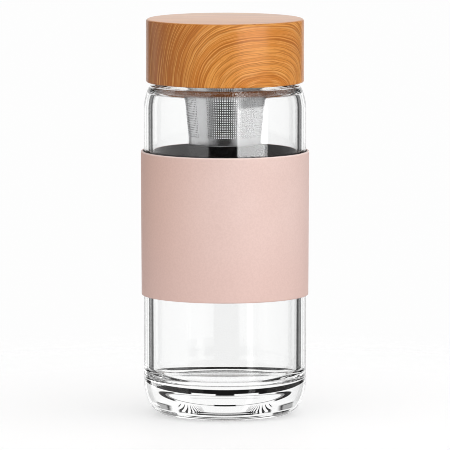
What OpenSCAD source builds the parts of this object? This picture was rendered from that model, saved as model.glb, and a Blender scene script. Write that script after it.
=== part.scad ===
// Glass infuser bottle: thick clear glass, a soft sleeve round its middle,
// a wood-grain screw lid and a perforated steel infuser that plugs into the lid.
// Millimetres, +Z up, origin at the middle of the foot, on the table.

/* [Glass] */
// Outside diameter of the straight barrel
barrel_d = 72; // [71:0.5:74]
// Thickness of the barrel wall
wall_t = 3.6; // [3:0.1:4]
// Height of the flat inside floor, which is the thickness of the heavy base
floor_z = 15.6; // [13:0.2:18]
// Height where the shoulder starts to lean in
shoulder_z = 137; // [136:0.5:138]
// Height of the glass ledge that the neck rises from
ledge_z = 147; // [146.6:0.1:147.4]
// Height of the rim of the neck
rim_z = 163.5; // [163:0.1:164]
// Diameter of the mouth
mouth_d = 55; // [54:0.5:56]

/* [Sleeve] */
// Height of the sleeve's lower edge
sleeve_z = 53.6; // [40:0.2:60]
// Height of the sleeve itself
sleeve_h = 64.3; // [50:0.1:70]
// Thickness of the sleeve at its upper edge, lining included
sleeve_top_t = 1.45; // [1.2:0.05:2]
// Thickness of the sleeve at its lower edge, lining included
sleeve_foot_t = 1.15; // [1:0.05:2]
// Thickness of the dark lining
lining_t = 0.4; // [0.2:0.05:0.5]

/* [Lid] */
// Outside diameter of the lid
lid_d = 70.2; // [69.6:0.2:71]
// Height of the lid's lower edge
lid_z = 148.5; // [148.4:0.1:149]
// Height of the lid itself
lid_h = 28.2; // [28:0.1:32]
// Thickness of the wood-grain wall
shell_t = 1.6; // [1.4:0.1:1.8]
// Radius of the lid's upper edge
lid_top_r = 1.2; // [0.4:0.1:1.4]
// Radius of the lid's lower edge
lid_foot_r = 0.8; // [0.3:0.1:1]

/* [Thread] */
// Rise of the lid in one full turn
lead = 12; // [11:0.5:13]
// Height of the ridge on the neck, from root to crest
ridge_h = 1.4; // [1:0.1:1.5]
// Width of a ridge at its root
ridge_w = 2.2; // [1.8:0.1:2.4]

/* [Infuser] */
// Height of the underside of the infuser
infuser_z = 121; // [110:0.5:126]
// Outside diameter of the basket at its foot
basket_foot_d = 31.8; // [28:0.2:33]
// Outside diameter of the basket where it meets the collar
basket_top_d = 39.7; // [39:0.1:40]
// Thickness of the perforated sheet
sheet_t = 0.5; // [0.4:0.1:0.8]
// Diameter of a drilled hole
hole_d = 1.5; // [0.8:0.1:1.8]
// Holes round the basket
hole_columns = 24; // [12:1:28]
// Rows of holes up the basket
hole_rows = 8; // [3:1:8]

/* [Hidden] */
$fn = 96;
glass_colour = [0.86, 0.93, 0.93, 0.35];
seal_colour = [0.7, 0.46, 0.26];

// Glass section: a long lean arc and a short round arc at the foot,
// and one lean arc at the shoulder with the inside kept a wall's thickness away
barrel_r = barrel_d / 2;
cavity_r = barrel_r - wall_t;
mouth_r = mouth_d / 2;
lean_r = 20;
lean_deg = 30;
foot_r = 9;
foot_x = barrel_r - lean_r + (lean_r - foot_r) * cos(lean_deg);
foot_lean_z = foot_r + (lean_r - foot_r) * sin(lean_deg);
shoulder_r = 20.5;
shoulder_x = barrel_r - shoulder_r;
ledge_edge_r = 1.6;
neck_fillet_r = 2;
floor_edge_r = 6;
ceiling_z = ledge_z - 2.8;
ceiling_edge_r = 1;
mouth_edge_r = 1.5;
rim_edge_r = 1.2;
stand_inner_r = foot_x - 3.5;
punt_h = 0.8;
punt_r = (pow(stand_inner_r, 2) + pow(punt_h, 2)) / (2 * punt_h);

// Sleeve
sleeve_gap = 0.05;
lining_r = barrel_r + sleeve_gap;
sleeve_inner_r = lining_r + lining_t;
sleeve_edge_r = 0.4;

// Lid: the liner is bonded in the shell, and everything under it follows the rim
lid_r = lid_d / 2;
lid_top_z = lid_z + lid_h;
shell_top_t = 2.4;
liner_r = lid_r - shell_t;
liner_wall_t = 1.35;
liner_bore_r = liner_r - liner_wall_t;
liner_lip = 0.5;
seal_t = 1.75;
seal_gap = 0.05;
seal_z = rim_z + seal_gap;
deck_z = seal_z + seal_t + seal_gap;
deck_t = 1.6;
guide_r = mouth_r - 0.7;
guide_t = 1.6;
guide_z = rim_z - 3;
socket_r = 20.7;
socket_t = 1.5;
socket_top_z = lid_top_z - shell_top_t - 1.9;
socket_lid_t = 1.2;

// Thread: three starts, each of two bars, the lid's bars midway between the neck's
starts = 3;
bars = 2;
bar_deg = 52;
bar_step_deg = 56;
ridge_crest_w = 1.2;
ridge_sink = 0.4;
neck_r = liner_bore_r - ridge_h - 0.35;
neck_ridge_z = 154.6;
lid_ridge_z = neck_ridge_z - lead / starts / 2;
lid_ridge_crest_r = neck_r + 0.25;
lead_deg = atan(lead / (2 * PI * (neck_r + ridge_h / 2)));

// Infuser: a cone with a rolled foot, hung from a collar
collar_r = socket_r - 0.3;
collar_t = 1.1;
collar_top_z = socket_top_z - 0.4;
collar_foot_z = 160.9;
foot_roll_r = 1.2;
floor_lip = 2;
basket_h = collar_foot_z - infuser_z;
basket_slope = (basket_top_d - basket_foot_d) / 2 / basket_h;
slope_deg = atan(basket_slope);
roll_z = infuser_z + foot_roll_r;
roll_x = basket_foot_d / 2 + basket_slope * foot_roll_r - foot_roll_r / cos(slope_deg);
floor_r = roll_x - 0.1;
floor_holes_per_ring = 6;
floor_rings = 3;
floor_ring_step = 3.6;
hole_foot_z = infuser_z + 5;
hole_top_z = collar_foot_z - 4.5;
ring_groove_z = collar_top_z - 4.6;
ring_h = 1.8;
ring_depth = 0.55;
ring_bulge_r = 0.36;

// A ring about the axis
module ring(inner_r, outer_r, low_z, high_z) {
  rotate_extrude()
    translate([inner_r, low_z])
      square([outer_r - inner_r, high_z - low_z]);
}

// A slice of a disc between two angles less than a quarter turn apart
module sector(x, z, radius, from_deg, to_deg) {
  reach = radius * 2;
  translate([x, z])
    intersection() {
      circle(radius);
      polygon([[0, 0],
               [reach * cos(from_deg), reach * sin(from_deg)],
               [reach * cos(to_deg), reach * sin(to_deg)]]);
    }
}

// A box in the half plane, from the axis out
module core(radius, low_z, high_z) {
  translate([0, low_z])
    square([radius, high_z - low_z]);
}

// A box on a level that flares out to it in a hollow quarter circle
module flared_core(radius, low_z, flare_r) {
  difference() {
    core(radius + flare_r, low_z - 0.1, low_z + flare_r);
    translate([radius + flare_r, low_z + flare_r])
      circle(flare_r);
  }
}

// Lean arc of the shoulder up to a level, its top edge rounded
module shoulder(radius, top_z, edge_r) {
  edge_z = top_z - edge_r;
  edge_x = sqrt(pow(radius - edge_r, 2) - pow(edge_z - shoulder_z, 2));
  edge_deg = atan2(edge_z - shoulder_z, edge_x);
  core(shoulder_x + edge_x, shoulder_z, top_z);
  sector(shoulder_x, shoulder_z, radius, 0, edge_deg);
  translate([shoulder_x + edge_x, edge_z])
    circle(edge_r);
}

// Outline of the glass from the table to the rim
module glass_outline() {
  core(foot_x, 0, foot_lean_z);
  sector(barrel_r - lean_r, foot_lean_z, lean_r, -lean_deg, 0);
  translate([foot_x, foot_r])
    circle(foot_r);
  core(barrel_r, foot_lean_z, shoulder_z);
  shoulder(shoulder_r, ledge_z, ledge_edge_r);
  flared_core(neck_r, ledge_z, neck_fillet_r);
  core(neck_r, ledge_z, rim_z - rim_edge_r);
  core(neck_r - rim_edge_r, ledge_z, rim_z);
  translate([neck_r - rim_edge_r, rim_z - rim_edge_r])
    circle(rim_edge_r);
}

// Hollow of the glass, from the inside floor to the open mouth
module glass_hollow() {
  core(cavity_r - floor_edge_r, floor_z, shoulder_z);
  core(cavity_r, floor_z + floor_edge_r, shoulder_z);
  translate([cavity_r - floor_edge_r, floor_z + floor_edge_r])
    circle(floor_edge_r);
  shoulder(shoulder_r - wall_t, ceiling_z, ceiling_edge_r);
  core(mouth_r, ceiling_z, rim_z + 1);
  flared_core(mouth_r, ceiling_z, mouth_edge_r);
}

// Shallow dome under the base, inside the ring that stands on the table
module punt() {
  intersection() {
    translate([0, punt_h - punt_r])
      circle(punt_r);
    core(stand_inner_r, 0, punt_h + 1);
  }
}

// One bar of thread, bent round the axis and leaned to the lead
module thread_bar(root_r, crest_r, z, turn_deg) {
  rotate([0, 0, turn_deg])
    translate([0, 0, z])
      rotate([lead_deg, 0, 0])
        rotate_extrude(angle = bar_deg, start = -bar_deg / 2)
          polygon([[root_r, -ridge_w / 2],
                   [crest_r, -ridge_crest_w / 2],
                   [crest_r, ridge_crest_w / 2],
                   [root_r, ridge_w / 2]]);
}

// All bars of one thread, low_z being the middle of each start's first bar
module thread(root_r, crest_r, low_z) {
  for (start = [0 : starts - 1])
    for (bar = [0 : bars - 1])
      thread_bar(root_r, crest_r, low_z + lead * bar * bar_step_deg / 360,
                 start * 360 / starts + bar * bar_step_deg);
}

// Glass between two heights
module glass_section(low_z, high_z) {
  intersection() {
    difference() {
      glass_outline();
      glass_hollow();
      punt();
    }
    core(barrel_r + 1, low_z, high_z);
  }
}

// Base and barrel, up to the level where the neck's solid takes over the same glass
module glass_bottle() {
  color(glass_colour)
    rotate_extrude()
      glass_section(0, shoulder_z);
}

// Shoulder and neck of the same glass, with the thread
module glass_neck() {
  color(glass_colour) {
    rotate_extrude()
      glass_section(shoulder_z, rim_z);
    thread(neck_r - ridge_sink, neck_r + ridge_h, neck_ridge_z);
  }
}

module sleeve() {
  foot_r = barrel_r + sleeve_foot_t - sleeve_edge_r;
  top_r = barrel_r + sleeve_top_t - sleeve_edge_r;
  top_z = sleeve_z + sleeve_h;
  color("mistyrose")
    rotate_extrude()
      difference() {
        union() {
          translate([0, sleeve_z])
            polygon([[0, 0], [foot_r, 0],
                     [foot_r + sleeve_edge_r, sleeve_edge_r],
                     [top_r + sleeve_edge_r, sleeve_h - sleeve_edge_r],
                     [top_r, sleeve_h], [0, sleeve_h]]);
          translate([foot_r, sleeve_z + sleeve_edge_r])
            circle(sleeve_edge_r);
          translate([top_r, top_z - sleeve_edge_r])
            circle(sleeve_edge_r);
        }
        core(sleeve_inner_r, sleeve_z - 1, top_z + 1);
      }
}

module sleeve_lining() {
  color("dimgray")
    ring(lining_r, sleeve_inner_r, sleeve_z, sleeve_z + sleeve_h);
}

module lid_shell() {
  color("peru")
    rotate_extrude()
      difference() {
        union() {
          core(lid_r - lid_top_r, lid_z + lid_foot_r, lid_top_z);
          core(lid_r - lid_foot_r, lid_z, lid_top_z - lid_top_r);
          core(lid_r, lid_z + lid_foot_r, lid_top_z - lid_top_r);
          translate([lid_r - lid_top_r, lid_top_z - lid_top_r])
            circle(lid_top_r);
          translate([lid_r - lid_foot_r, lid_z + lid_foot_r])
            circle(lid_foot_r);
        }
        core(liner_r, lid_z - 1, lid_top_z - shell_top_t);
      }
}

module lid_liner() {
  color("saddlebrown") {
    ring(liner_bore_r, liner_r, lid_z + liner_lip, deck_z + deck_t);
    ring(socket_r, liner_r, deck_z, deck_z + deck_t);
    ring(guide_r - guide_t, guide_r, guide_z, deck_z + deck_t);
    ring(socket_r, socket_r + socket_t, deck_z, socket_top_z + socket_lid_t);
    ring(0, socket_r + socket_t, socket_top_z, socket_top_z + socket_lid_t);
    thread(liner_bore_r + ridge_sink, lid_ridge_crest_r, lid_ridge_z);
  }
}

module lid_seal() {
  color(seal_colour)
    ring(guide_r + 0.4, liner_bore_r - 0.3, seal_z, seal_z + seal_t);
}

// Wall of the basket: a plain cone over a foot rolled in to carry the floor
module basket_section() {
  across = [cos(slope_deg), -sin(slope_deg)];
  roll = [roll_x, roll_z];
  top_out = [basket_top_d / 2, collar_foot_z];
  top_in = top_out - [sheet_t / cos(slope_deg), 0];
  polygon([roll + across * foot_roll_r, top_out, top_in,
           roll + across * (foot_roll_r - sheet_t)]);
  difference() {
    sector(roll_x, roll_z, foot_roll_r, -90, -slope_deg);
    translate(roll)
      circle(foot_roll_r - sheet_t);
  }
  translate([roll_x - floor_lip, infuser_z])
    square([floor_lip, sheet_t]);
}

module infuser_basket() {
  column_deg = 360 / hole_columns;
  row_step = (hole_top_z - hole_foot_z) / (hole_rows - 1);
  color("gainsboro")
    difference() {
      rotate_extrude()
        basket_section();
      for (row = [0 : hole_rows - 1])
        for (column = [0 : hole_columns - 1])
          rotate([0, 0, column * column_deg])
            translate([roll_x - 1, 0, hole_foot_z + row * row_step])
              rotate([0, 90, 0])
                cylinder(d = hole_d, h = basket_top_d / 2);
    }
}

module infuser_floor() {
  floor_plate_z = infuser_z + sheet_t;
  color("silver")
    difference() {
      translate([0, 0, floor_plate_z])
        cylinder(r = floor_r, h = sheet_t);
      for (circle_no = [1 : floor_rings])
        for (hole = [0 : floor_holes_per_ring * circle_no - 1])
          rotate([0, 0, hole * 360 / (floor_holes_per_ring * circle_no)])
            translate([floor_ring_step * circle_no, 0, floor_plate_z - 1])
              cylinder(d = hole_d, h = sheet_t + 2);
    }
}

module infuser_collar() {
  color("silver")
    difference() {
      ring(collar_r - collar_t, collar_r, collar_foot_z, collar_top_z);
      ring(collar_r - ring_depth, collar_r + 1, ring_groove_z, ring_groove_z + ring_h);
    }
}

module infuser_ring() {
  color(seal_colour)
    rotate_extrude() {
      translate([collar_r - ring_depth, ring_groove_z])
        square([ring_depth - 0.1, ring_h]);
      translate([collar_r - 0.1, ring_groove_z + ring_h / 2])
        circle(ring_bulge_r);
    }
}

glass_bottle();
glass_neck();
sleeve();
sleeve_lining();
lid_shell();
lid_liner();
lid_seal();
infuser_basket();
infuser_floor();
infuser_collar();
infuser_ring();
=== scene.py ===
from math import asin, atan2, cos, floor, pi, radians, sin, tan

import bmesh
import bpy
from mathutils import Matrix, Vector


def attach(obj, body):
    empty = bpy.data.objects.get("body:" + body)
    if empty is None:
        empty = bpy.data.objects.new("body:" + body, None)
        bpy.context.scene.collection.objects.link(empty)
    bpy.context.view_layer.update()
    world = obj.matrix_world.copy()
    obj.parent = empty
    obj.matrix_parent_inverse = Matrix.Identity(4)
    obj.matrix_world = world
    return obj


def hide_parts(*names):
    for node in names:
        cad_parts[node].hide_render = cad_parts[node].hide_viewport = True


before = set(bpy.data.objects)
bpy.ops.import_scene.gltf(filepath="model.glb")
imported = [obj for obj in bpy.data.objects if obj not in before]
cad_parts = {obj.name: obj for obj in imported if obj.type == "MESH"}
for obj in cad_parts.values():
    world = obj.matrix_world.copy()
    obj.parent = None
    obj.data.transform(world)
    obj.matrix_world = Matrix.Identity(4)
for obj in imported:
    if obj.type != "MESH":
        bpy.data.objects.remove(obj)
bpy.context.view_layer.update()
scene = bpy.context.scene
mm = 0.001
inDegrees = 180 / pi
print("frame loaded:", len(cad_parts), "nodes")


class Val:
    # a socket that Python sums can use; each sum adds a Math node
    def __init__(self, look, socket):
        self.look, self.socket = look, socket

    def __add__(self, other): return self.look.sum("ADD", self, other)
    def __radd__(self, other): return self.look.sum("ADD", other, self)
    def __sub__(self, other): return self.look.sum("SUBTRACT", self, other)
    def __rsub__(self, other): return self.look.sum("SUBTRACT", other, self)
    def __mul__(self, other): return self.look.sum("MULTIPLY", self, other)
    def __rmul__(self, other): return self.look.sum("MULTIPLY", other, self)
    def __truediv__(self, other): return self.look.sum("DIVIDE", self, other)
    def __abs__(self): return self.look.sum("ABSOLUTE", self)


class Look:
    # the node tree of one finish, or of the world
    def __init__(self, owner):
        owner.use_nodes = True
        self.owner, self.tree = owner, owner.node_tree
        self.tree.nodes.clear()

    def node(self, kind, settings=None, sockets=None, out=None):
        made = self.tree.nodes.new("ShaderNode" + kind)
        for key, value in (settings or {}).items():
            setattr(made, key, value)
        for key, value in (sockets or {}).items():
            self.feed(next(s for s in made.inputs if s.enabled and s.name == key), value)
        outs = [s for s in made.outputs if s.enabled and out in (None, s.name)]
        return Val(self, outs[0]) if outs else None

    def feed(self, socket, value):
        if isinstance(value, Val):
            self.tree.links.new(value.socket, socket)
        elif socket.type == "RGBA":
            socket.default_value = (*value, 1)
        else:
            socket.default_value = value

    def sum(self, operation, *values):
        made = self.tree.nodes.new("ShaderNodeMath")
        made.operation = operation
        for socket, value in zip(made.inputs, values):
            self.feed(socket, value)
        return Val(self, made.outputs[0])

    def most(self, a, b):
        return self.sum("MAXIMUM", a, b)

    def spot(self):  # place on the piece, in millimetres
        place = self.node("TexCoord", out="Object")
        return self.node("VectorMath", {"operation": "SCALE"}, {"Vector": place, "Scale": 1000})

    def split(self, vector):
        made = self.tree.nodes.new("ShaderNodeSeparateXYZ")
        self.feed(made.inputs[0], vector)
        return [Val(self, s) for s in made.outputs]

    def join(self, x, y, z):
        return self.node("CombineXYZ", {}, {"X": x, "Y": y, "Z": z})

    def noise(self, vector, scale, detail=2.0, rough=0.5):
        return self.node("TexNoise", {}, {"Vector": vector, "Scale": scale, "Detail": detail, "Roughness": rough})

    def lines(self, along, scale, detail=2.0, rough=0.5):
        return self.node("TexNoise", {"noise_dimensions": "1D"},
                         {"W": along, "Scale": scale, "Detail": detail, "Roughness": rough})

    def step(self, value, low, high, bottom=0.0, top=1.0):
        return self.node("MapRange", {"interpolation_type": "SMOOTHSTEP"},
                         {"Value": value, "From Min": low, "From Max": high, "To Min": bottom, "To Max": top})

    def around(self, value, middle, soft):  # soft step up at one value
        return self.step(value, middle - soft, middle + soft)

    def within(self, value, span, soft=1.0):
        return self.around(value, span[0], soft) - self.around(value, span[1], soft)

    def mix(self, factor, a, b):
        return self.node("Mix", {"data_type": "RGBA"}, {"Factor": factor, "A": a, "B": b})

    def bump(self, height, strength, depth):
        return self.node("Bump", {}, {"Height": height, "Strength": strength, "Distance": depth * mm})

    def principled(self, sockets):
        self.node("OutputMaterial", {}, {"Surface": self.node("BsdfPrincipled", {}, sockets)})
        return self.owner


def over(below, mask, value):  # one value laid over another where the mask is 1
    return below + mask * (value - below)


def finish(name):
    return Look(bpy.data.materials.new(name))


def tint(*rgb):  # screen colour, 0 to 255, to linear
    return tuple(((c / 255 + 0.055) / 1.055) ** 2.4 if c > 10 else c / 3295 for c in rgb)


# Turned pieces: a section drawn as corners (radius, height, edge radius, segments) in mm, then spun
def turned(corners, steps, closed=True, rows=()):
    bm = bmesh.new()
    points = [Vector((c[0], 0, c[1])) for c in corners]
    count = len(points)
    sides = count if closed else count - 1
    verts = [bm.verts.new(p * mm) for p in points]
    edges = [bm.edges.new((verts[i], verts[(i + 1) % count])) for i in range(sides)]
    for index, cuts in rows:  # extra rows along one side of the section
        bmesh.ops.subdivide_edges(bm, edges=[edges[index]], cuts=cuts)
    for i, corner in enumerate(corners):
        if len(corner) > 2:
            bend = (points[i] - points[i - 1]).angle(points[(i + 1) % count] - points[i])
            vert = min(bm.verts, key=lambda v: (v.co - points[i] * mm).length)
            bmesh.ops.bevel(bm, geom=[vert], offset=corner[2] * tan(bend / 2) * mm, offset_type="OFFSET",
                            affect="VERTICES", segments=corner[3], profile=0.5, material=-1, clamp_overlap=False)
    spinRound(bm, bm.verts[:] + bm.edges[:], steps)
    clean(bm)
    return bm


def spinRound(bm, geom, steps):
    bmesh.ops.spin(bm, geom=geom, cent=(0, 0, 0), axis=(0, 0, 1), angle=2 * pi, steps=steps, use_merge=True)


def clean(bm, near=0.001):
    bmesh.ops.remove_doubles(bm, verts=bm.verts, dist=near * mm)
    bmesh.ops.recalc_face_normals(bm, faces=bm.faces)


def newObject(name, bm, material):
    mesh = bpy.data.meshes.new(name)
    bm.to_mesh(mesh)
    bm.free()
    mesh.materials.append(material)
    piece = bpy.data.objects.new(name, mesh)
    scene.collection.objects.link(piece)
    return piece


def place(name, bm, nodes, body, slot, material, sharpDeg=40):
    piece = newObject(name, bm, material)
    piece.data.shade_smooth()
    piece.data.set_sharp_from_angle(angle=radians(sharpDeg))
    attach(piece, body)
    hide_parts(*nodes.split())
    print(name, "made:", len(piece.data.polygons), "faces")


def leanCorners(x, z, radius, topZ, edge):
    # corners of a wall at x that leans in from z by an arc, up to a level top with a rounded edge
    lean = asin((topZ - edge - z) / (radius - edge))
    reach = radius * tan(lean / 2)
    past = reach + edge * tan(pi / 4 - lean / 2)
    return (x, z + reach), (x - past * sin(lean), topZ)


# Screw thread: the ridge pushed out of the wall along a helix, three starts
thread = {"lead": 12, "starts": 3, "fromDeg": -26, "toDeg": 82, "fadeDeg": 5, "runInDeg": 20,
          "rootWide": 2.2, "crestWide": 1.2, "crestSoft": 0.1, "wallNear": 0.01}


def smooth(value, low, high):
    t = min(1, max(0, (value - low) / (high - low)))
    return t * t * (3 - 2 * t)


def pushThread(bm, wallRadius, height, startZ):
    t = thread
    for v in bm.verts:
        x, y, z = v.co / mm
        if abs((x * x + y * y) ** 0.5 - wallRadius) > t["wallNear"]:
            continue
        lift = 0
        for start in range(t["starts"]):
            turn = (atan2(y, x) * 180 / pi - start * 360 / t["starts"] - t["fromDeg"] + t["runInDeg"]) % 360
            turn += t["fromDeg"] - t["runInDeg"]
            off = abs(z - startZ - t["lead"] * turn / 360)
            ends = smooth(turn, t["fromDeg"], t["fromDeg"] + t["fadeDeg"])
            ends *= 1 - smooth(turn, t["toDeg"] - t["fadeDeg"], t["toDeg"])
            lift = max(lift, ends * (1 - smooth(off, t["crestWide"] / 2 - t["crestSoft"], t["rootWide"] / 2)))
        v.co.xy *= (wallRadius + height * lift) / wallRadius


# Clear glass: faint waves from the mould, no colour of its own
glassLook = {"colour": (0.995, 0.998, 0.997), "ior": 1.5, "waveSize": 18, "waveDepth": 0.02, "waveBump": 0.2}


def clearGlass():
    look = finish("clear_glass")
    waves = look.noise(look.spot(), 1 / glassLook["waveSize"], 1)
    return look.principled({"Base Color": glassLook["colour"], "Roughness": 0.0, "IOR": glassLook["ior"],
                            "Transmission Weight": 1.0,
                            "Normal": look.bump(waves, glassLook["waveBump"], glassLook["waveDepth"])})


bottle = {"radius": 36, "wall": 3.6, "wallLow": 4, "floorZ": 15.6, "floorEdge": 6,
          "leanRadius": 20, "leanDeg": 30, "footRadius": 9, "standInner": 22.03, "puntHigh": 0.8, "puntBend": 300,
          "shoulderZ": 137, "shoulderRadius": 20.5, "ledgeZ": 147, "ledgeEdge": 1.6, "neckFillet": 1.5,
          "ceilingZ": 144.57, "ceilingEdge": 2.9, "mouth": 27.5, "mouthEdge": 1.43, "neck": 30.4,
          "rimZ": 163.5, "rimOuterEdge": 1.2, "rimInnerEdge": 0.8, "threadZ": 154.6, "threadHigh": 1.4,
          "threadFromZ": 150, "threadToZ": 161, "threadRows": 50, "steps": 240}


def glassBottle():
    b = bottle
    leanZ = b["footRadius"] + (b["leanRadius"] - b["footRadius"]) * sin(radians(b["leanDeg"]))
    leanReach = b["leanRadius"] * tan(radians(b["leanDeg"]) / 2)
    footReach = b["footRadius"] * tan(radians(90 - b["leanDeg"]) / 2)
    footCorner = b["radius"] - (leanReach + footReach) * sin(radians(b["leanDeg"]))
    inner = b["radius"] - b["wall"]
    innerArc = b["shoulderRadius"] - b["wall"]
    low, top = leanCorners(b["radius"], b["shoulderZ"], b["shoulderRadius"], b["ledgeZ"], b["ledgeEdge"])
    innerLow, innerTop = leanCorners(inner, b["shoulderZ"], innerArc, b["ceilingZ"], b["ceilingEdge"])
    threadFoot = (b["neck"], b["threadFromZ"])
    corners = [
        (0, b["puntHigh"]), (b["standInner"] / 2, b["puntHigh"], b["puntBend"], 6), (b["standInner"], 0),
        (footCorner, 0, b["footRadius"], 20), (b["radius"], leanZ - leanReach, b["leanRadius"], 14),
        (*low, b["shoulderRadius"], 14), (*top, b["ledgeEdge"], 8),
        (b["neck"], b["ledgeZ"], b["neckFillet"], 8), threadFoot, (b["neck"], b["threadToZ"]),
        (b["neck"], b["rimZ"], b["rimOuterEdge"], 8), (b["mouth"], b["rimZ"], b["rimInnerEdge"], 6),
        (b["mouth"], b["ceilingZ"], b["mouthEdge"], 8), (*innerTop, b["ceilingEdge"], 10),
        (*innerLow, innerArc, 12), (b["radius"] - b["wallLow"], b["floorZ"], b["floorEdge"], 16),
        (0, b["floorZ"])]
    bm = turned(corners, b["steps"], closed=False, rows=[(corners.index(threadFoot), b["threadRows"])])
    pushThread(bm, b["neck"], b["threadHigh"], b["threadZ"])
    place("bottle_glass", bm, "glass_bottle glass_neck", "bottle", "clear_glass", clearGlass())


# Blush silicone sleeve and the dark layer inside it
sleeveShape = {"footZ": 53.6, "high": 64.3, "footRadius": 37.15, "topRadius": 37.45, "inner": 36.46,
               "edge": 0.4, "innerEdge": 0.15, "sideRows": 12,
               "liningInner": 36.05, "liningOuter": 36.44, "liningInset": 0.1, "steps": 192}
# painted light on the sleeve: painted shade at the foot edge, on the left side and towards the bottom, and a
# painted highlight along the top edge; the footEdge colour is also the darker tone of the random mottle
sleeveLook = {"colour": tint(231, 203, 195), "shade": tint(222, 190, 181), "footEdge": tint(168, 126, 112),
              "rim": tint(248, 229, 223), "leftShade": tint(224, 186, 172), "rough": 0.5, "roughVaries": 0.12,
              "specular": 0.2, "cloudScale": 0.05, "cloudRange": (0.3, 0.75), "cloudMix": 0.3,
              "fineScale": 2.2, "fineRough": 0.6, "fineBump": 0.25, "fineDepth": 0.05,
              "mottleScale": 1.2, "mottleRange": (0.35, 0.65), "mottleMix": 0.08,
              "footShadeUp": (0.15, 0.75), "footShadeMix": 0.7, "leftShadeX": (-36, 4), "leftShadeMix": 0.75,
              "shadeUp": 45, "shadeMix": 0.75, "rimHighlightDown": (0.7, 0.2), "rimHighlightMix": 0.8}
liningLook = {"colour": tint(66, 64, 63), "shade": tint(80, 78, 77), "rough": 0.55, "roughVaries": 0.2,
              "ribScale": 1.4, "ribBump": 0.3, "ribDepth": 0.05}


def blushSilicone():
    s = sleeveLook
    footZ = sleeveShape["footZ"]
    topZ = footZ + sleeveShape["high"]
    look = finish("blush_silicone")
    spot = look.spot()
    x, _, z = look.split(spot)
    cloud = look.noise(spot, s["cloudScale"], 3)
    fine = look.noise(spot, s["fineScale"], 3, s["fineRough"])
    mottle = look.noise(spot, s["mottleScale"], 2, s["fineRough"])
    colour = look.mix(look.step(cloud, *s["cloudRange"]) * s["cloudMix"], s["colour"], s["shade"])
    # painted shade: a thin band at the foot edge is mixed towards the darker footEdge colour
    footEdge = look.step(z, *[footZ + up for up in s["footShadeUp"]], s["footShadeMix"], 0.0)
    colour = look.mix(footEdge, colour, s["footEdge"])
    # painted shade: the left side is mixed towards a darker, pinker colour
    colour = look.mix(look.step(x, *s["leftShadeX"], s["leftShadeMix"], 0.0), colour, s["leftShade"])
    # painted shade: the sleeve is mixed towards the shade colour towards the bottom
    colour = look.mix(look.step(z, footZ, footZ + s["shadeUp"], s["shadeMix"], 0.0), colour, s["shade"])
    colour = look.mix(look.step(mottle, *s["mottleRange"]) * s["mottleMix"], colour, s["footEdge"])
    # painted highlight: a thin band at the top edge is mixed towards the paler rim colour
    rim = look.step(z, *[topZ - down for down in s["rimHighlightDown"]], 0.0, s["rimHighlightMix"])
    colour = look.mix(rim, colour, s["rim"])
    return look.principled({"Base Color": colour, "Roughness": s["rough"] + s["roughVaries"] * (fine - 0.5),
                            "Specular IOR Level": s["specular"],
                            "Normal": look.bump(fine, s["fineBump"], s["fineDepth"])})


def charcoalLining():
    s = liningLook
    look = finish("charcoal_lining")
    ribs = look.noise(look.spot(), s["ribScale"], 2)
    colour = look.mix(ribs, s["colour"], s["shade"])
    return look.principled({"Base Color": colour, "Roughness": s["rough"] + s["roughVaries"] * ribs,
                            "Normal": look.bump(ribs, s["ribBump"], s["ribDepth"])})


def gripSleeve():
    s = sleeveShape
    lowZ, topZ = s["footZ"], s["footZ"] + s["high"]
    bm = turned([(s["footRadius"], lowZ, s["edge"], 6), (s["topRadius"], topZ, s["edge"], 6),
                 (s["inner"], topZ, s["innerEdge"], 3), (s["inner"], lowZ, s["innerEdge"], 3)],
                s["steps"], rows=[(0, s["sideRows"])])
    place("grip_sleeve_outer", bm, "sleeve", "grip_sleeve", "blush_silicone", blushSilicone())
    lowZ, topZ = lowZ + s["liningInset"], topZ - s["liningInset"]
    bm = turned([(s["liningOuter"], lowZ), (s["liningOuter"], topZ),
                 (s["liningInner"], topZ, s["innerEdge"], 3), (s["liningInner"], lowZ, s["innerEdge"], 3)],
                s["steps"])
    place("grip_sleeve_lining", bm, "sleeve_lining", "grip_sleeve", "charcoal_lining", charcoalLining())


# Wood-grain lid: arched growth lines round the side, straight grain across the top
lidShape = {"radius": 35.1, "footZ": 148.5, "topZ": 176.7, "topEdge": 1.2, "footEdge": 0.8, "innerEdge": 0.2,
            "wall": 1.6, "topThick": 2.4, "steps": 192}
grain = {"light": tint(224, 150, 68), "mid": tint(206, 126, 44), "dark": tint(160, 86, 16),
         "pale": tint(238, 178, 104), "brownShade": tint(146, 80, 26), "rough": 0.4, "roughVaries": 0.12,
         "coat": 0.5, "topCoat": 0.3, "coatRough": 0.28, "specular": 0.1, "bump": 0.1, "bumpDepth": 0.04,
         "archDeg": 30, "archZ": 144.5, "spread": 0.45, "steepen": 0.012, "straightFrom": 50,
         "bigWave": (2.6, 0.05), "smallWave": (0.3, 0.2), "topWave": (7, 0.03), "topSlant": 0.06, "topFrom": 60,
         "topDown": (0.5, 0.1), "alongSide": 18, "alongTop": 0.6, "stretch": 0.028,
         "broadScale": 0.16, "broadRange": (0.38, 0.62), "patchScale": 0.07, "patchRange": (0.3, 0.6),
         "brownShadeShift": 12, "brownShadeFrom": (30, 60), "brownShadeTo": (78, 104), "brownShadeMix": 0.75,
         "earlyScale": 0.7, "earlyRough": 0.55, "earlyRange": (0.5, 0.64), "earlyMix": (0.25, 0.5),
         "lateScale": 1.7, "lateRange": (0.5, 0.62), "lateMix": 0.6, "paleRange": (0.46, 0.36), "paleMix": 0.5,
         "poreStretch": (4, 0.6), "poreSlice": 7.0, "poreRough": 0.6, "poreRange": (0.54, 0.7), "poreMix": 0.35}


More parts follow.
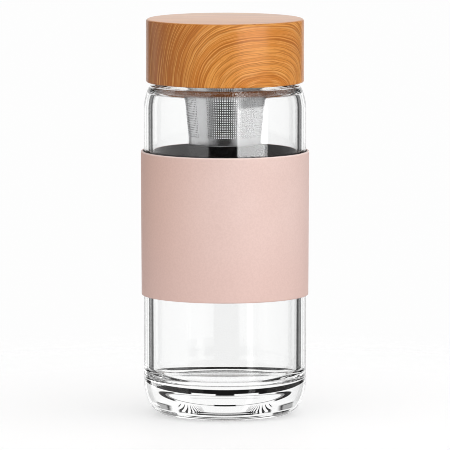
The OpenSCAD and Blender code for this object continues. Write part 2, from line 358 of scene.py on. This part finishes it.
def lidWoodGrain():
    g = grain
    look = finish("lid_wood_grain")
    spot = look.spot()
    x, y, z = look.split(spot)

    def wave(size, scale):
        return size * look.noise(spot, scale, 2)

    turn = look.sum("ARCTAN2", x, 0 - y) - radians(g["archDeg"])
    across = abs(look.sum("WRAP", turn, pi, -pi)) * lidShape["radius"]
    bent = across * (g["spread"] + g["steepen"] * look.sum("MINIMUM", across, g["straightFrom"]))
    high = z - g["archZ"]
    arch = look.sum("SQRT", bent * bent + high * high)
    side = arch + wave(*g["bigWave"]) + wave(*g["smallWave"])
    topGrain = y + g["topSlant"] * x + g["topFrom"] + wave(*g["topWave"])
    onTop = look.step(z, *[lidShape["topZ"] - down for down in g["topDown"]])
    ring = over(side, onTop, topGrain)
    along = look.sum("ARCTAN2", bent, high) * g["alongSide"] + onTop * (x * g["alongTop"])
    grainMap = look.join(ring, along * g["stretch"], 0.0)

    broad = look.lines(ring, g["broadScale"])
    early = look.noise(grainMap, g["earlyScale"], 2, g["earlyRough"])
    late = look.noise(grainMap, g["lateScale"])
    poreAcross, poreAlong = g["poreStretch"]
    pores = look.noise(look.join(ring * poreAcross, along * poreAlong, g["poreSlice"]), 1.0, 2, g["poreRough"])
    patch = look.noise(spot, g["patchScale"])
    colour = look.mix(look.step(broad, *g["broadRange"]), g["light"], g["mid"])
    # painted shade: the side is mixed towards a darker brown away from the front right, fullest at the left and at
    # the back right, with a broad noise at its edge
    shady = look.step(across + g["brownShadeShift"] * patch, *g["brownShadeFrom"]) - look.step(across, *g["brownShadeTo"])
    colour = look.mix(shady * g["brownShadeMix"] * (1 - onTop), colour, g["brownShade"])
    dark = look.step(early, *g["earlyRange"]) * look.step(patch, *g["patchRange"], *g["earlyMix"])
    colour = look.mix(dark, colour, g["dark"])
    colour = look.mix(look.step(late, *g["lateRange"]) * g["lateMix"], colour, g["dark"])
    colour = look.mix(look.step(late, *g["paleRange"]) * g["paleMix"], colour, g["pale"])
    colour = look.mix(look.step(pores, *g["poreRange"]) * g["poreMix"], colour, g["dark"])
    return look.principled({"Base Color": colour, "Roughness": g["rough"] + g["roughVaries"] * (late - 0.5),
                            "Coat Weight": g["coat"] + g["topCoat"] * onTop, "Coat Roughness": g["coatRough"],
                            "Specular IOR Level": g["specular"],
                            "Normal": look.bump(late, g["bump"], g["bumpDepth"])})


def lidShell():
    s = lidShape
    inner = s["radius"] - s["wall"]
    ceiling = s["topZ"] - s["topThick"]
    bm = turned([(0, s["topZ"]), (s["radius"], s["topZ"], s["topEdge"], 8),
                 (s["radius"], s["footZ"], s["footEdge"], 6), (inner, s["footZ"], s["innerEdge"], 2),
                 (inner, ceiling), (0, ceiling)], s["steps"], closed=False)
    place("lid_wood_shell", bm, "lid_shell", "lid", "lid_wood_grain", lidWoodGrain())


def moulded(name, values):
    # a moulded finish: cloudy colour, a fine speckle, and a painted glow, emission in its own colour that stands
    # in for light reaching the piece
    look = finish(name)
    spot = look.spot()
    speck = look.noise(spot, values["speckScale"], 2)
    cloud = look.noise(spot, values["cloudScale"], values["cloudDetail"])
    colour = look.mix(cloud, values["colour"], values["shade"])
    return look.principled({"Base Color": colour, "Roughness": values["rough"] + values["roughVaries"] * speck,
                            "Emission Color": colour, "Emission Strength": values["paintedGlow"],
                            "Normal": look.bump(speck, values["speckBump"], values["speckDepth"])})


# Moulded liner in the lid: thread skirt, deck over the rim, guide ring and the socket for the infuser
linerShape = {"outer": 33.48, "bore": 32.15, "footZ": 149.6, "deckZ": 165.35, "deckThick": 1.6,
              "guideOuter": 26.8, "guideInner": 25.2, "guideZ": 160.5,
              "socket": 20.7, "socketOuter": 22.2, "socketZ": 172.4, "capThick": 1.2,
              "threadZ": 152.6, "threadHigh": -1.5, "threadTopZ": 159, "threadUp": 0.6, "threadRows": 44,
              "steps": 192}
linerLook = {"colour": tint(186, 118, 62), "shade": tint(166, 102, 52), "paintedGlow": 0.2, "rough": 0.36,
             "roughVaries": 0.12, "speckScale": 3, "speckBump": 0.2, "speckDepth": 0.03,
             "cloudScale": 0.08, "cloudDetail": 2}


def lidLiner():
    s = linerShape
    deckTop = s["deckZ"] + s["deckThick"]
    capTop = s["socketZ"] + s["capThick"]
    threadTop = (s["bore"], s["threadTopZ"])
    corners = [(0, s["socketZ"]), (s["socket"], s["socketZ"], 0.4, 3), (s["socket"], s["deckZ"], 0.4, 3),
               (s["guideInner"], s["deckZ"], 0.3, 3), (s["guideInner"], s["guideZ"], 0.5, 4),
               (s["guideOuter"], s["guideZ"], 0.5, 4), (s["guideOuter"], s["deckZ"], 0.2, 2),
               (s["bore"], s["deckZ"], 0.2, 2), threadTop, (s["bore"], s["footZ"] + s["threadUp"]),
               (s["bore"], s["footZ"], 0.3, 3), (s["outer"], s["footZ"], 0.2, 2), (s["outer"], deckTop, 0.2, 2),
               (s["socketOuter"], deckTop, 0.3, 2), (s["socketOuter"], capTop, 0.4, 3), (0, capTop)]
    bm = turned(corners, s["steps"], closed=False, rows=[(corners.index(threadTop), s["threadRows"])])
    pushThread(bm, s["bore"], s["threadHigh"], s["threadZ"])
    place("lid_liner_cup", bm, "lid_liner", "lid", "liner_plastic", moulded("liner_plastic", linerLook))


# Caramel silicone rings: the lid's flat seal and the infuser's grip ring
sealLook = {"colour": tint(190, 126, 72), "shade": tint(170, 108, 58), "paintedGlow": 0.22, "rough": 0.42,
            "roughVaries": 0.1, "speckScale": 3, "speckBump": 0.15, "speckDepth": 0.03,
            "cloudScale": 0.15, "cloudDetail": 3}
sealShape = {"inner": 27.2, "outer": 31.85, "lowZ": 163.55, "highZ": 165.3, "edge": 0.5, "steps": 160}
ringShape = {"inner": 19.86, "groove": 20.3, "bulge": 20.66, "lowZ": 167.42, "highZ": 169.18, "edge": 0.1,
             "bulgeHalf": 0.36, "bulgeEdge": 0.34, "steps": 144}


def siliconeRings():
    material = moulded("seal_silicone", sealLook)
    s = sealShape
    bm = turned([(s["outer"], s["lowZ"], s["edge"], 4), (s["outer"], s["highZ"], s["edge"], 4),
                 (s["inner"], s["highZ"], s["edge"], 4), (s["inner"], s["lowZ"], s["edge"], 4)], s["steps"])
    place("lid_seal_ring", bm, "lid_seal", "seal", "seal_silicone", material)
    s = ringShape
    middle = (s["lowZ"] + s["highZ"]) / 2
    bulgeLow, bulgeTop = middle - s["bulgeHalf"], middle + s["bulgeHalf"]
    bm = turned([(s["inner"], s["lowZ"], s["edge"], 2), (s["groove"], s["lowZ"], s["edge"], 2),
                 (s["groove"], bulgeLow), (s["bulge"], bulgeLow, s["bulgeEdge"], 5),
                 (s["bulge"], bulgeTop, s["bulgeEdge"], 5), (s["groove"], bulgeTop),
                 (s["groove"], s["highZ"], s["edge"], 2), (s["inner"], s["highZ"], s["edge"], 2)], s["steps"])
    place("infuser_grip_ring", bm, "infuser_ring", "infuser", "seal_silicone", material)


# Steel infuser
steelLook = {"colour": (0.68, 0.68, 0.69), "rough": 0.295, "roughVaries": 0.02,
             "cloudScale": 0.12, "cloudShade": 0.9, "brushAcross": 0.15, "brushUp": 9, "brushRough": 0.6,
             "brushDepth": 0.01, "dentSize": 9, "dentDepth": 0.3,
             "insideShadeColour": (0.05, 0.05, 0.05), "insideRough": 0.3, "insideFrom": (3, 8),
             "glowLeft": (0.03, 0.03, 0.03), "leftX": (-8, -3), "glowMiddle": (1.15, 1.15, 1.15),
             "glowRight": (0.25, 0.25, 0.25), "rightX": (4, 9)}
basket = {"lowZ": 121, "topZ": 160.9, "footRadius": 15.9, "topRadius": 19.85, "sheet": 0.5, "roll": 0.5,
          "rollSteps": 6, "lip": 2, "columns": 110, "seamColumns": 5, "seamDeg": -36, "plainFoot": 3.4,
          "plainTop": 2.6, "pitch": 1.02, "land": 0.48, "sharpDeg": 50}
plate = {"radius": 14.7, "lowZ": 121.52, "thick": 0.46, "pitch": 0.95, "field": 13.4, "land": 0.42,
         "rimSegments": 96, "sharpDeg": 50}
collar = {"inner": 19.3, "outer": 20.4, "lowZ": 160.9, "topZ": 172, "grooveZ": 167.4, "grooveHigh": 1.8,
          "grooveDeep": 0.55, "grooveEdge": 0.1, "grooveLip": 0.15, "topEdge": 0.3, "lowOuterEdge": 0.25,
          "lowInnerEdge": 0.2, "steps": 160}


def infuserSteel():
    s = steelLook
    look = finish("infuser_steel")
    spot = look.spot()
    x, y, z = look.split(spot)
    brush = look.join(x * s["brushAcross"], y * s["brushAcross"], z * s["brushUp"])
    brushed = look.noise(brush, 1, 2, s["brushRough"])
    cloud = look.noise(spot, s["cloudScale"], 2)
    colour = look.mix(cloud, s["colour"], tuple(c * s["cloudShade"] for c in s["colour"]))
    dents = s["dentDepth"] * look.noise(spot, 1 / s["dentSize"], 1)
    # painted light: the inside is painted near black, with a painted glow, dim at the left, bright in the middle
    # and grey at the right, that stands in for the light that comes in through the holes
    nx, ny, _ = look.split(look.node("TexCoord", out="Normal"))
    inward = look.step(0 - (nx * x + ny * y), *s["insideFrom"])
    glow = look.mix(look.step(x, *s["leftX"]), s["glowLeft"], s["glowMiddle"])
    glow = look.mix(look.step(x, *s["rightX"]), glow, s["glowRight"])
    glow = look.mix(inward, (0, 0, 0), glow)
    colour = look.mix(inward, colour, s["insideShadeColour"])
    rough = s["rough"] + s["roughVaries"] * (brushed - 0.5) + s["roughVaries"] * (cloud - 0.5)
    return look.principled({"Base Color": colour, "Metallic": 1.0, "Roughness": rough + s["insideRough"] * inward,
                            "Emission Color": glow, "Emission Strength": 1.0,
                            "Normal": look.bump(s["brushDepth"] * brushed + dents, 1.0, 1.0)})


def perforate(bm, faces, land):
    bmesh.ops.inset_individual(bm, faces=faces, thickness=land / 2 * mm, use_even_offset=True)
    bmesh.ops.delete(bm, geom=faces, context="FACES_ONLY")


def basketWall(material):
    b = basket
    slope = (b["topRadius"] - b["footRadius"]) / (b["topZ"] - b["lowZ"])
    rollZ = b["lowZ"] + b["roll"]
    rollX = b["footRadius"] + slope * b["plainFoot"] - b["roll"]
    # outline of the wall from the lip under the floor, round the rolled foot, up the plain band and the cone
    path = [(rollX - b["lip"], b["lowZ"])]
    for i in range(b["rollSteps"] + 1):
        angle = pi / 2 * (i / b["rollSteps"] - 1)
        path.append((rollX + b["roll"] * cos(angle), rollZ + b["roll"] * sin(angle)))
    firstRow = len(path)
    rows = floor((b["topZ"] - b["plainTop"] - b["lowZ"] - b["plainFoot"]) / b["pitch"])
    heights = [b["lowZ"] + b["plainFoot"] + i * b["pitch"] for i in range(rows + 1)] + [b["topZ"]]
    path += [(b["footRadius"] + slope * (h - b["lowZ"]), h) for h in heights]
    spans = len(path) - 1

    bm = bmesh.new()
    bmesh.ops.create_grid(bm, x_segments=b["columns"], y_segments=spans, size=1)
    startDeg = b["seamDeg"] - 360 / b["columns"] * b["seamColumns"] / 2
    holes = []
    for face in bm.faces:
        middle = face.calc_center_median()
        column = floor((middle.x + 1) / 2 * b["columns"])
        row = floor((middle.y + 1) / 2 * spans) - firstRow
        if column >= b["seamColumns"] and 0 <= row < rows:
            holes.append(face)
    for v in bm.verts:
        radius, z = path[round((v.co.y + 1) / 2 * spans)]
        angle = radians(startDeg) + (v.co.x + 1) * pi
        v.co = Vector((radius * sin(angle), -radius * cos(angle), z)) * mm
    clean(bm)
    perforate(bm, holes, b["land"])
    bmesh.ops.solidify(bm, geom=bm.faces[:], thickness=b["sheet"] * mm)
    bmesh.ops.recalc_face_normals(bm, faces=bm.faces)
    place("infuser_basket_wall", bm, "infuser_basket", "infuser", "infuser_steel", material, b["sharpDeg"])


def floorPlate(material):
    p = plate
    bm = bmesh.new()
    count = 2 * int(p["field"] / p["pitch"]) + 1
    bmesh.ops.create_grid(bm, x_segments=count, y_segments=count, size=count * p["pitch"] / 2 * mm)
    outside = [f for f in bm.faces if max(v.co.length for v in f.verts) > p["field"] * mm]
    bmesh.ops.delete(bm, geom=outside, context="FACES")
    cells = bm.faces[:]
    bmesh.ops.create_circle(bm, segments=p["rimSegments"], radius=p["radius"] * mm)
    rim = [e for e in bm.edges if len(e.link_faces) < 2]
    bmesh.ops.triangle_fill(bm, use_beauty=True, edges=rim)
    bmesh.ops.translate(bm, verts=bm.verts, vec=(0, 0, p["lowZ"] * mm))
    perforate(bm, cells, p["land"])
    bmesh.ops.recalc_face_normals(bm, faces=bm.faces)
    bmesh.ops.solidify(bm, geom=bm.faces[:], thickness=p["thick"] * mm)
    bmesh.ops.recalc_face_normals(bm, faces=bm.faces)
    place("infuser_floor_plate", bm, "infuser_floor", "infuser", "infuser_steel", material, p["sharpDeg"])


def collarRing(material):
    c = collar
    groove = c["outer"] - c["grooveDeep"]
    grooveTop = c["grooveZ"] + c["grooveHigh"]
    bm = turned([(c["outer"], c["lowZ"], c["lowOuterEdge"], 3), (c["outer"], c["grooveZ"], c["grooveLip"], 2),
                 (groove, c["grooveZ"], c["grooveEdge"], 2), (groove, grooveTop, c["grooveEdge"], 2),
                 (c["outer"], grooveTop, c["grooveLip"], 2), (c["outer"], c["topZ"], c["topEdge"], 4),
                 (c["inner"], c["topZ"], c["topEdge"], 4), (c["inner"], c["lowZ"], c["lowInnerEdge"], 3)],
                c["steps"])
    place("infuser_collar_band", bm, "infuser_collar", "infuser", "infuser_steel", material)


glassBottle()
gripSleeve()
lidShell()
lidLiner()
siliconeRings()
steel = infuserSteel()
basketWall(steel)
floorPlate(steel)
collarRing(steel)


def stagePiece(name, bm, material):
    piece = newObject(name, bm, material)
    return piece


# Pale floor that fades out into the backdrop; the radii are in metres
floorLook = {"radius": 0.32, "segments": 128, "down": 0.05, "fadeFrom": 0.14, "fadeTo": 0.31,
             "colour": (0.5, 0.5, 0.5), "glow": 0.55, "rough": 0.6, "specular": 0.1,
             "paperScale": 900, "paperBump": 0.05, "paperDepth": 0.05}


def paleFloor():
    f = floorLook
    bm = bmesh.new()
    bmesh.ops.create_circle(bm, cap_ends=True, segments=f["segments"], radius=f["radius"])
    bmesh.ops.translate(bm, verts=bm.verts, vec=(0, 0, -f["down"] * mm))
    look = finish("floor_paper")
    spot = look.node("TexCoord", out="Object")
    away = look.node("VectorMath", {"operation": "LENGTH"}, {"Vector": spot}, "Value")
    paper = look.noise(spot, f["paperScale"], 2)
    shown = look.step(away, f["fadeFrom"], f["fadeTo"], 1.0, 0.0)
    material = look.principled({"Base Color": f["colour"], "Roughness": f["rough"],
                                "Specular IOR Level": f["specular"], "Emission Color": (1, 1, 1),
                                "Emission Strength": f["glow"], "Alpha": shown,
                                "Normal": look.bump(paper, f["paperBump"], f["paperDepth"])})
    piece = stagePiece("pale_floor", bm, material)
    piece.visible_glossy = piece.visible_transmission = False  # the glass sees the clean studio instead


# Painted shadow: thin dark rings on the floor round the foot, standing in for the floor's shade near the bottle,
# that only the glass sees
footShadowRings = {"spans": [(34, 40), (46.5, 54)], "down": 0.1, "steps": 96, "colour": (0.01, 0.01, 0.01), "rough": 0.8}


def paintedShadowRings():
    bm = bmesh.new()
    for span in footShadowRings["spans"]:
        edge = bm.edges.new([bm.verts.new((r * mm, 0, -footShadowRings["down"] * mm)) for r in span])
        spinRound(bm, [*edge.verts, edge], footShadowRings["steps"])
    look = finish("painted_shadow_black")
    material = look.principled({"Base Color": footShadowRings["colour"], "Roughness": footShadowRings["rough"]})
    piece = stagePiece("painted_shadow_rings", bm, material)
    piece.visible_camera = piece.visible_diffuse = piece.visible_shadow = piece.visible_glossy = False


# Studio: a white surround, with dark gaps and light panels that only mirror-like bounces see
studio = {"backdrop": 0.985, "through": 1.035, "dark": 0.008,
          # soft light on everything that isn't a mirror
          "ambient": 0.43, "fromRight": 0.325, "fromFront": 0.62, "fromAbove": 0.7, "softest": 0.03,
          # the sides, and the white, grey and dark behind the bottle
          "leftSide": 0.9, "rightSide": 0.4, "sideX": (-0.1, 0.1), "behind": 1.06, "behindLow": 1.2,
          "grey": 0.14, "greyDeg": (144.3, 152.3), "darkDeg": (134.5, 144.3),
          "edge": 0.45, "edgeDeg": 171, "edgeSoft": 2, "levelFrom": (-15, -11), "levelTo": (-3.5, -1.5),
          # panels in front, weaker low down, high up and for the steel inside the bottle
          "rightPanel": 6.6, "rightPanelDeg": (18, 63), "rightInside": 1.15, "rightLower": 0.8, "rightUpper": 2.0,
          "leftPanel": 1.2, "leftPanelDeg": (-54, -24), "leftLower": 0.3, "frontGapDeg": (-24, 18),
          "lowerDeg": (-6.75, -6.1), "upperDeg": (8, 14), "insideCrossed": 3.5, "crossedSoft": 0.1,
          # under the panels
          "panelFootDeg": -8.3, "panelFootSoft": 0.6, "lowRight": 0.05, "lowDark": 0.008, "lowGapDeg": (-31, 33),
          "strip": 1.6, "stripDeg": (34, 44), "footLineDeg": (-17.3, -15.5), "footLineSoft": 0.2,
          "footLineTurn": (158, 164), "ceiling": 0.1, "ceilingDeg": 45, "ceilingSoft": 5}
# The backdrop as the solid base shows it: a dark band over a white oval in a dark frame, then a short bar,
# a foot line, patches at the sides and streaks that fan out
behindBase = {"baseCrossed": 2.5, "crossedSoft": 0.1, "lineSoft": 0.15,
              "bandDeg": (0.7, 3.9), "gapDeg": 3.0, "gapTurn": (4.5, 17), "gapSoft": 0.5,
              "oval": (34.5, 6.5, 2.3, 3.2), "frame": (0.97, 1.06), "frameDark": 0.7, "frameSoft": 0.03,
              "core": (0.45, 0.55), "coreDark": 0.35, "coreSoft": 0.04, "coreDown": 0.5,
              "ends": (1.05, 1.3), "endsTurn": (27, 30), "barDeg": (9.2, 10.1), "barTurn": (5, 6),
              "footDeg": (13.9, 14.3), "footTurn": (14, 17), "patchTurn": (34, 51), "patchTurnSoft": 2.5,
              "patchDeg": (13.3, 16.8), "patchSoft": 0.6, "patchLine": (0.9, 0.5), "patchBlock": (39, 36),
              "patchGrey": 0.6, "fanDeg": (10.6, 18), "fanSoft": 0.3, "fanTurn": (11, 27), "fanFrom": 10,
              "fanGrows": 1.38, "fanDeep": 14.5, "fanBent": (0.3, 19, -0.6), "fanShift": 11.53,
              "fanThins": 0.045, "fanLine": (0.02, 0.09), "fanLeast": 0.01}


def mirrorPattern(look, x, turn, rise, crossed):
    s = studio
    mirror = look.step(x, *s["sideX"], s["leftSide"], s["rightSide"])
    # only upright walls see the edge, the lid's top looks over it and the foot under it
    level = look.step(rise, *s["levelTo"], 1.0, 0.0) * look.step(rise, *s["levelFrom"])
    mirror = over(mirror, look.around(abs(turn), s["greyDeg"][1], 1), over(s["behind"], level, s["behindLow"]))
    mirror = over(mirror, look.within(abs(turn), s["greyDeg"]), s["grey"])
    mirror = over(mirror, look.within(abs(turn), s["darkDeg"]), s["dark"])
    mirror = over(mirror, look.around(abs(turn), s["edgeDeg"], s["edgeSoft"]) * level, s["edge"])
    standing = look.around(rise, s["panelFootDeg"], s["panelFootSoft"])
    upper = look.step(rise, *s["lowerDeg"])
    panel = over(s["rightLower"], upper, look.step(rise, *s["upperDeg"], s["rightPanel"], s["rightUpper"]))
    panel = over(panel, look.around(crossed, s["insideCrossed"], s["crossedSoft"]), s["rightInside"])
    mirror = over(mirror, look.within(turn, s["rightPanelDeg"]), over(s["lowRight"], standing, panel))
    mirror = over(mirror, look.within(turn, s["stripDeg"]) * (1 - standing), s["strip"])
    mirror = over(mirror, look.within(turn, s["leftPanelDeg"]), over(s["leftLower"], upper, s["leftPanel"]))
    mirror = over(mirror, look.within(turn, s["frontGapDeg"]), s["dark"])
    mirror = over(mirror, look.within(turn, s["lowGapDeg"]) * (1 - standing), s["lowDark"])
    mirror = over(mirror, look.around(rise, s["ceilingDeg"], s["ceilingSoft"]), s["ceiling"])
    footLine = look.within(rise, s["footLineDeg"], s["footLineSoft"])
    return over(mirror, look.step(abs(turn), *s["footLineTurn"]) * footLine, s["dark"])


def basePattern(look, off, rise, crossed):
    # rays that cross one block of glass, which is the base, meet the dark parts of the backdrop
    f = behindBase
    most, within, step = look.most, look.within, look.step
    wide, middle, tallUp, tallDown = f["oval"]
    tall = most((middle - rise) / tallUp, (rise - middle) / tallDown)
    oval = look.sum("SQRT", (off / wide) * (off / wide) + tall * tall)
    gap = within(off, f["gapTurn"], f["gapSoft"]) * look.around(rise, f["gapDeg"], f["lineSoft"])
    bars = within(rise, f["bandDeg"], f["lineSoft"]) * (1 - gap)
    bars = most(bars, within(oval, f["frame"], f["frameSoft"]) * f["frameDark"])
    core = within(oval, f["core"], f["coreSoft"])
    bars = most(bars, core * step(rise, middle - f["coreDown"], middle, f["coreDark"], 0.0))
    bars = most(bars, within(oval, f["ends"], f["frameSoft"]) * step(off, *f["endsTurn"]))
    bars = most(bars, within(rise, f["barDeg"], f["lineSoft"]) * step(off, *f["barTurn"], 1.0, 0.0))
    bars = most(bars, step(rise, *f["footDeg"]) * step(off, *f["footTurn"], 1.0, 0.0))
    patch = within(off, f["patchTurn"], f["patchTurnSoft"]) * within(rise, f["patchDeg"], f["patchSoft"])
    patchLine = step(rise, *[f["patchDeg"][0] + up for up in f["patchLine"]])
    bars = most(bars, patch * most(patchLine, step(off, *f["patchBlock"], f["patchGrey"], 1.0)))
    # streaks that fan out from the middle, each next one wider apart, thick at the foot
    gain, turning, least = f["fanBent"]
    fan = off - most(gain * (off - turning), least) * (rise - f["fanDeep"]) - f["fanFrom"]
    fan = look.sum("LOGARITHM", most(fan, f["fanLeast"]), f["fanGrows"]) + f["fanShift"]
    fan = look.sum("PINGPONG", fan, 0.5)
    fan = step(fan - f["fanThins"] * (rise - f["fanDeg"][0]), *f["fanLine"], 1.0, 0.0)
    bars = most(bars, fan * within(rise, f["fanDeg"], f["fanSoft"]) * within(off, f["fanTurn"]))
    return bars * (1 - look.around(crossed, f["baseCrossed"], f["crossedSoft"]))


def studioLight():
    s = studio
    world = bpy.data.worlds.new("studio")
    scene.world = world
    look = Look(world)
    x, y, z = look.split(look.node("TexCoord", out="Generated"))
    turn = look.sum("ARCTAN2", x, 0 - y) * inDegrees  # from the camera's side, right positive
    off = abs(look.sum("ARCTAN2", x, y)) * inDegrees  # from straight behind
    rise = look.sum("ARCSINE", z) * inDegrees
    crossed = look.node("LightPath", out="Transmission Depth")
    soft = s["ambient"] + s["fromRight"] * x - s["fromFront"] * y + s["fromAbove"] * look.most(z, 0.0)
    through = over(s["through"], basePattern(look, off, rise, crossed), s["dark"])
    light = over(look.most(soft, s["softest"]), look.node("LightPath", out="Is Transmission Ray"), through)
    light = over(light, look.node("LightPath", out="Is Camera Ray"), s["backdrop"])
    mirrored = look.sum("MINIMUM", look.node("LightPath", out="Glossy Depth"), 1.0)
    light = over(light, mirrored, mirrorPattern(look, x, turn, rise, crossed))
    look.node("OutputWorld", {}, {"Surface": look.node("Background", {}, {"Color": light, "Strength": 1.0})})


# Camera: a long lens a little above the bottle
view = {"aimZ": 84.5, "distance": 3120, "riseDeg": 6.1, "frameWide": 200.4, "seesTo": 20000}


def photoCamera():
    data = bpy.data.cameras.new("photo_camera")
    data.lens = data.sensor_width * view["distance"] / view["frameWide"]
    data.clip_end = view["seesTo"] * mm
    camera = bpy.data.objects.new("photo_camera", data)
    scene.collection.objects.link(camera)
    rise = radians(view["riseDeg"])
    camera.location = Vector((0, -cos(rise) * view["distance"], view["aimZ"] + sin(rise) * view["distance"])) * mm
    camera.rotation_euler = (pi / 2 - rise, 0, 0)
    scene.camera = camera


paleFloor()
paintedShadowRings()
studioLight()
photoCamera()
scene.view_settings.view_transform = "Standard"
scene.cycles.max_bounces = 32
scene.cycles.transmission_bounces = 32
scene.cycles.glossy_bounces = 16
scene.cycles.filter_width = 0.9
print("studio and camera set")
